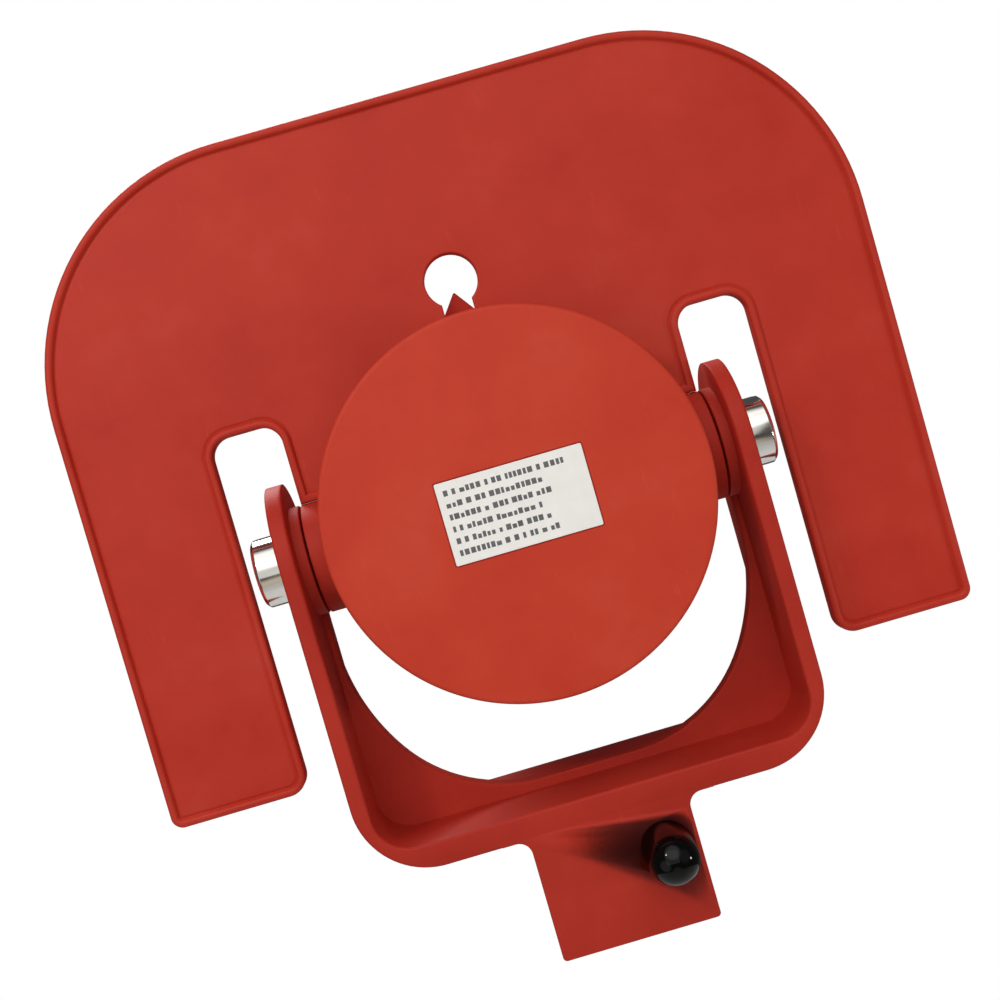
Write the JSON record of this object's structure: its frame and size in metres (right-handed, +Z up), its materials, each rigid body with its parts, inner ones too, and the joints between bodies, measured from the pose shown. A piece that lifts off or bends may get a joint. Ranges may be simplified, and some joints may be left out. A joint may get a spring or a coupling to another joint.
{
  "type": "survey prism",
  "caption": "Survey prism: a glass corner cube in a tilting round housing, carried by a U yoke with a stub socket and a lock button, under a removable target plate.",
  "frame": {"origin": "centre of the stub socket's mouth, on the bottom face of the stem", "axes": "+Z up, along the stub socket and towards the tilt axis; the glass looks along -Y; the tilt axis runs along X"},
  "size_m": [0.165, 0.0725, 0.1693],
  "materials": {
    "red_polymer": "satin",
    "plate_polymer": "satin",
    "steel": "machined",
    "black_gloss": "polished",
    "black_satin": "satin",
    "bearing_polymer": "matte",
    "brass": "turned",
    "chrome": "polished",
    "seal_rubber": "matte",
    "label_stock": "satin",
    "prism_glass": "polished",
    "target_foil": "satin"
  },
  "bodies": {
    "yoke": {"yoke_frame": "red_polymer", "stub_bush": "steel", "lock_stop_pin": "steel", "lock_spring": "steel", "pivot_bush_left": "bearing_polymer", "pivot_bush_right": "bearing_polymer", "spring_washer_left": "steel", "spring_washer_right": "steel"},
    "prism": {"prism_housing": "red_polymer", "rear_cover": "red_polymer", "cover_seal": "seal_rubber", "label_plate": "label_stock", "prism_glass": "prism_glass", "front_seal": "seal_rubber", "retaining_ring": "black_satin", "pressure_cup": "black_satin", "wave_spring": "steel", "trunnion_insert_left": "brass", "trunnion_insert_right": "brass", "pivot_screw_left": "chrome", "pivot_screw_right": "chrome", "friction_washer_left": "bearing_polymer", "friction_washer_right": "bearing_polymer"},
    "plate": {"target_plate": "plate_polymer", "target_wedge_left": "target_foil", "target_wedge_right": "target_foil", "target_wedge_top": "target_foil"},
    "button": {"lock_pin": "steel", "lock_knob": "black_gloss"}
  },
  "joints": [
    {"name": "prism_tilt", "type": "hinge", "parent": "yoke", "child": "prism", "pos_m": [0, 0, 0.086], "axis": [1, 0, 0], "range_deg": [-130, 130]},
    {"name": "plate_lift_off", "type": "slide", "parent": "prism", "child": "plate", "axis": [0, 0, 1], "range_m": [0, 0.09]},
    {"name": "lock_button", "type": "slide", "parent": "yoke", "child": "button", "axis": [0, -1, 0], "range_m": [0, 0.005], "stiffness_N_per_m": 900, "springref_m": -0.002, "deforming": ["lock_spring"]}
  ]
}
